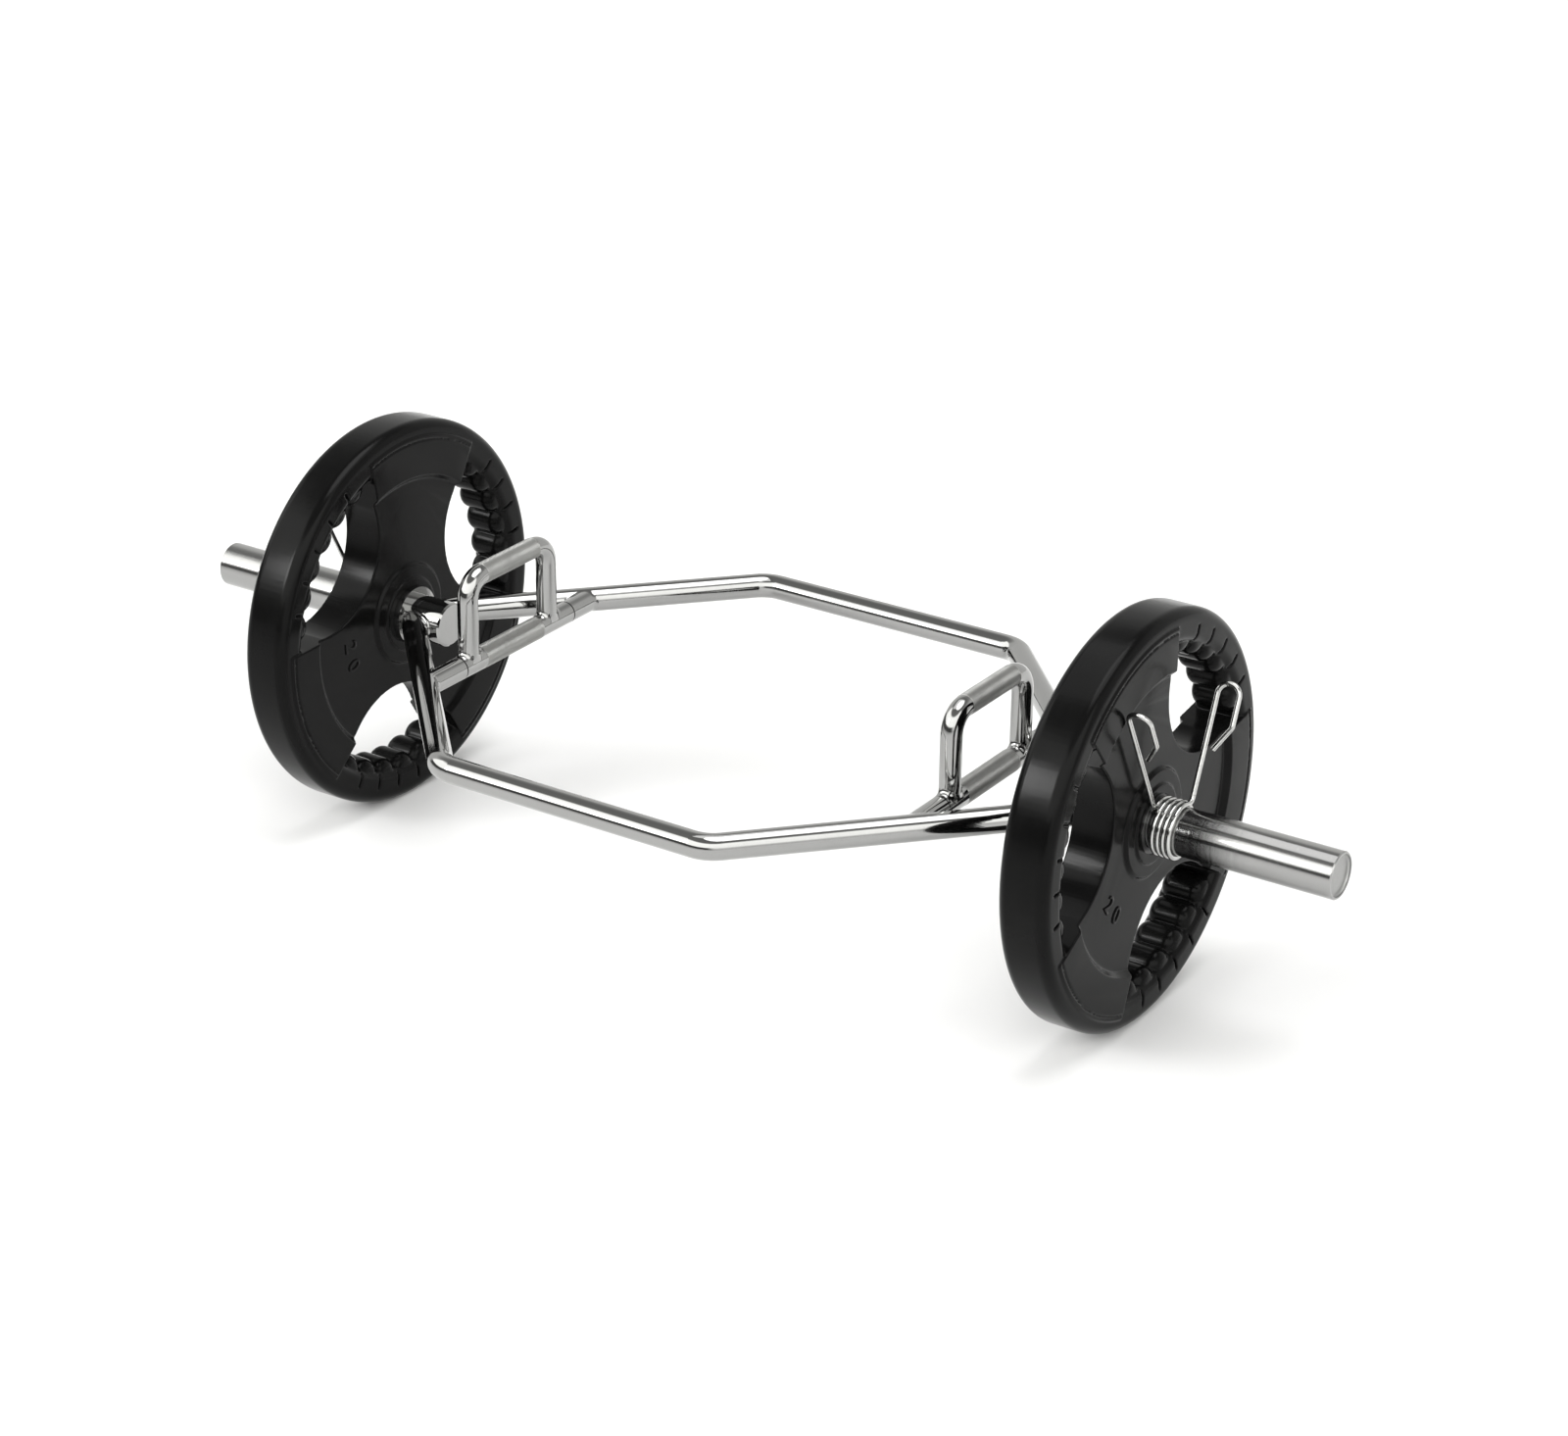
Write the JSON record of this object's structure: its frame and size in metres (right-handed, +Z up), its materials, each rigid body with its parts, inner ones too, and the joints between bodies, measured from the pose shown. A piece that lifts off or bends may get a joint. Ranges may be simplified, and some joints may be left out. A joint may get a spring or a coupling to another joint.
{
  "type": "hex trap bar",
  "caption": "Chromed hexagonal trap bar with low and raised handles, loading sleeves, rubber-coated grip weight plates and wire spring clips.",
  "frame": {"origin": "on the floor under the middle of the bar, midway between the plates that it stands on", "axes": "+X along the bar to the sleeve on the picture's right, +Y to the back, +Z up"},
  "size_m": [1.413, 0.6342, 0.4428],
  "materials": {
    "frame_chrome": "polished plate",
    "grip_chrome": "knurled plate",
    "plug_steel": "turned",
    "plate_rubber": "satin black",
    "plate_iron": "rough cast",
    "bush_steel": "blackened",
    "clip_wire": "plated spring wire"
  },
  "bodies": {
    "frame": {"left_sleeve_root": "frame_chrome", "left_sleeve": "frame_chrome", "left_stop_flange": "frame_chrome", "left_sleeve_plug": "plug_steel", "left_low_grip": "grip_chrome", "left_front_rail_stub": "frame_chrome", "left_rear_rail_stub": "frame_chrome", "left_raised_handle": "frame_chrome", "right_sleeve_root": "frame_chrome", "right_sleeve": "frame_chrome", "right_stop_flange": "frame_chrome", "right_sleeve_plug": "plug_steel", "right_low_grip": "grip_chrome", "right_front_rail_stub": "frame_chrome", "right_rear_rail_stub": "frame_chrome", "right_raised_handle": "frame_chrome", "front_frame_tube": "frame_chrome", "rear_frame_tube": "frame_chrome"},
    "left_plate": {"left_plate_rubber": "plate_rubber", "left_plate_core": "plate_iron", "left_plate_bush": "bush_steel"},
    "left_clip": {"left_clip_coil": "clip_wire", "left_clip_inner_arm": "clip_wire"},
    "left_clip_lever": {"left_clip_outer_arm": "clip_wire"},
    "right_plate": {"right_plate_rubber": "plate_rubber", "right_plate_core": "plate_iron", "right_plate_bush": "bush_steel"},
    "right_clip": {"right_clip_coil": "clip_wire", "right_clip_inner_arm": "clip_wire"},
    "right_clip_lever": {"right_clip_outer_arm": "clip_wire"}
  },
  "joints": [
    {"name": "left_plate_spin", "type": "hinge", "parent": "frame", "child": "left_plate", "pos_m": [-0.4741, 0, 0.2214], "axis": [1, 0, 0], "continuous": true},
    {"name": "left_clip_slide", "type": "slide", "parent": "frame", "child": "left_clip", "axis": [-1, 0, 0], "range_m": [0, 0.17]},
    {"name": "left_clip_squeeze", "type": "hinge", "parent": "left_clip", "child": "left_clip_lever", "pos_m": [-0.5327, 0, 0.2214], "axis": [1, 0, 0], "range_deg": [0, 35], "stiffness_Nm_per_rad": 10.6, "deforming": ["left_clip_coil"]},
    {"name": "right_plate_spin", "type": "hinge", "parent": "frame", "child": "right_plate", "pos_m": [0.4741, 0, 0.2214], "axis": [1, 0, 0], "continuous": true},
    {"name": "right_clip_slide", "type": "slide", "parent": "frame", "child": "right_clip", "axis": [1, 0, 0], "range_m": [0, 0.17]},
    {"name": "right_clip_squeeze", "type": "hinge", "parent": "right_clip", "child": "right_clip_lever", "pos_m": [0.5327, 0, 0.2214], "axis": [1, 0, 0], "range_deg": [0, 35], "stiffness_Nm_per_rad": 10.6, "deforming": ["right_clip_coil"]}
  ]
}
